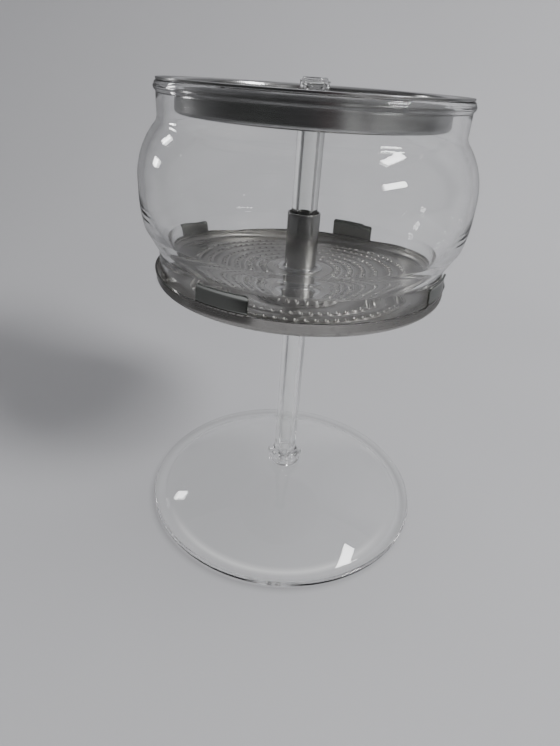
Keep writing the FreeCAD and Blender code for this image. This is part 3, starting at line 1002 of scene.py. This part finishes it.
def add_lamp(name, target, direction, distance, size, power):
    """Aim a rectangular soft lamp at a point from a direction."""
    lamp = bpy.data.lights.new(name, "AREA")
    lamp.shape = "RECTANGLE"
    lamp.size, lamp.size_y = size
    lamp.energy = power
    holder = bpy.data.objects.new(name, lamp)
    aim = Vector(direction).normalized()
    holder.location = Vector(target) + aim * distance
    holder.rotation_euler = aim.to_track_quat("Z", "Y").to_euler()
    bpy.context.scene.collection.objects.link(holder)
    return holder


def from_bearing(bearing, elevation):
    """A direction by its bearing from +X and its elevation, in degrees."""
    bearing, elevation = math.radians(bearing), math.radians(elevation)
    return (
        math.cos(elevation) * math.cos(bearing),
        math.cos(elevation) * math.sin(bearing),
        math.sin(elevation),
    )


def reflected_room(tree, direction):
    """What the metal and glass mirror: a dim room with light to the viewer's right."""
    parts = parts_of(tree, direction)
    bearing = calculate(tree, "ARCTAN2", parts["Y"], parts["X"])
    around = ramp(tree, bearing, -math.pi, math.pi, 0.0, 1.0)
    walls = tree.nodes.new("ShaderNodeValToRGB")
    walls.color_ramp.interpolation = "B_SPLINE"
    # the bearing from +X in degrees, and the colour there
    stops = (
        (-180, (0.10, 0.10, 0.10)),
        (-150, (0.04, 0.04, 0.04)),
        (-125, (0.045, 0.05, 0.045)),
        (-112, (0.022, 0.022, 0.024)),
        (-86, (0.022, 0.021, 0.023)),
        (-78, (0.085, 0.055, 0.058)),
        (-69, (0.06, 0.06, 0.06)),
        (-61, (0.70, 0.70, 0.70)),
        (-52, (0.14, 0.14, 0.14)),
        (-20, (0.15, 0.15, 0.147)),
        (20, (0.16, 0.16, 0.16)),
        (100, (0.30, 0.30, 0.30)),
        (180, (0.10, 0.10, 0.10)),
    )
    band = walls.color_ramp.elements
    while len(band) < len(stops):
        band.new(1.0)
    for element, (degrees, _) in zip(band, stops):
        element.position = (degrees + 180) / 360
    for element, (_, colour) in zip(band, stops):
        element.color = (*colour, 1.0)
    tree.links.new(around, walls.inputs["Fac"])
    overhead = ramp(tree, parts["Z"], 0.45, 0.75, 0.0, 1.0)
    zenith = ramp(tree, parts["Z"], 0.78, 0.95, 0.0, 1.0)
    ceiling = mix_colour(tree, zenith, (0.13, 0.13, 0.135), (0.36, 0.36, 0.365))
    return mix_colour(tree, overhead, walls.outputs["Color"], ceiling)


def build_light():
    """A soft window to the right, a soft ceiling, and panes that only make highlights."""
    middle = (0, 0, 0.12)
    for name, direction, distance, size, power in (
        ("window", from_bearing(-27, 36), 1.5, (0.42, 0.34), 31),
        ("ceiling", from_bearing(60, 74), 1.8, (1.6, 1.2), 16),
    ):
        soft = add_lamp(name, middle, direction, distance, size, power)
        soft.visible_glossy = False
        soft.visible_transmission = False
    for name, direction, distance, size, power in (
        ("pane_high", from_bearing(-11, 50), 1.5, (0.42, 0.15), 8.0),
        ("pane_low", from_bearing(-30, 27), 1.5, (0.40, 0.14), 8.0),
        ("pane_left_high", from_bearing(150, 23), 0.9, (0.07, 0.10), 0.5),
        ("pane_left_low", from_bearing(156, 9), 0.9, (0.09, 0.08), 0.5),
    ):
        pane = add_lamp(name, middle, direction, distance, size, power)
        pane.visible_diffuse = False


def build_room():
    """A pale room, as the viewer and the lamps see it, and a dimmer one in reflections."""
    world = bpy.data.worlds.new("room")
    bpy.context.scene.world = world
    world.use_nodes = True
    tree = world.node_tree
    back = tree.nodes["Background"]
    direction = tree.nodes.new("ShaderNodeTexCoord").outputs["Generated"]
    grey = ramp(tree, parts_of(tree, direction)["Y"], -0.9, 0.4, 0.06, 0.42)
    path = tree.nodes.new("ShaderNodeLightPath")
    through_glass = calculate(tree, "GREATER_THAN", path.outputs["Transmission Depth"], 0.5)
    least = calculate(tree, "MULTIPLY", through_glass, 0.27)
    grey = calculate(tree, "MAXIMUM", grey, least)
    pale = mix_colour(tree, grey, (0.0, 0.0, 0.0), (1.0, 1.0, 1.03))
    tree.links.new(
        mix_colour(tree, in_reflection(tree), pale, reflected_room(tree, direction)),
        back.inputs["Color"],
    )
    back.inputs["Strength"].default_value = 1.0


def build_camera():
    """The viewer: close, a little above the rim, tilted down, with a slight roll."""
    pitch, roll, yaw = math.radians(30.06), math.radians(4.06), math.radians(-1.39)
    viewer = (0.0, -0.19425, 0.17481)
    forward = Vector((
        math.sin(yaw) * math.cos(pitch),
        math.cos(yaw) * math.cos(pitch),
        -math.sin(pitch),
    ))
    right = Vector((math.cos(yaw), -math.sin(yaw), 0.0))
    up = right.cross(forward)
    rolled_right = math.cos(roll) * right + math.sin(roll) * up
    rolled_up = -math.sin(roll) * right + math.cos(roll) * up
    camera = bpy.data.cameras.new("viewer")
    camera.lens = 25.04
    camera.sensor_width = 36
    camera.clip_start = 0.01
    holder = bpy.data.objects.new("viewer", camera)
    place_of = Matrix.Identity(4)
    for column, axis in enumerate((rolled_right, rolled_up, -forward)):
        for row in range(3):
            place_of[row][column] = axis[row]
    for row, value in enumerate(viewer):
        place_of[row][3] = value
    holder.matrix_world = place_of
    bpy.context.scene.collection.objects.link(holder)
    bpy.context.scene.camera = holder


# ---------------------------------------------------------------- the object and its scene

stem_glass = glass_material("stem_glass", tint=(0.985, 0.995, 0.98), wave=0.04)
basket_glass = glass_material("basket_glass", tint=(0.985, 0.99, 0.985), wave=0.03)
stamped = metal_material(
    "stamped_aluminium", colour=(0.43, 0.42, 0.405), dark=(0.30, 0.29, 0.275),
    roughness=0.27, groove=0.10, stain=0.40, polished=RIM_TOP)
drawn = metal_material(
    "drawn_aluminium", colour=(0.53, 0.53, 0.52), dark=(0.44, 0.44, 0.43),
    roughness=0.16, groove=0.04, stain=0.15, brushed=0.5)
spun = metal_material(
    "spun_aluminium", colour=(0.62, 0.62, 0.62), dark=(0.55, 0.55, 0.55),
    roughness=0.20, groove=0.04, stain=0.15, brushed=0.6)

for glass_piece, glass in ((build_stem(), stem_glass), (build_wall(), basket_glass)):
    dress(glass_piece, glass)
    let_light_through(glass_piece)
dress(build_base(), stamped)
dress(build_sleeve(), drawn)
dress(build_cover(), spun)

build_floor()
build_light()
build_room()
build_camera()

# enough bounces for light to find its way out of the knop and the brim
light_paths = bpy.context.scene.cycles
light_paths.max_bounces = light_paths.transmission_bounces = light_paths.glossy_bounces = 24
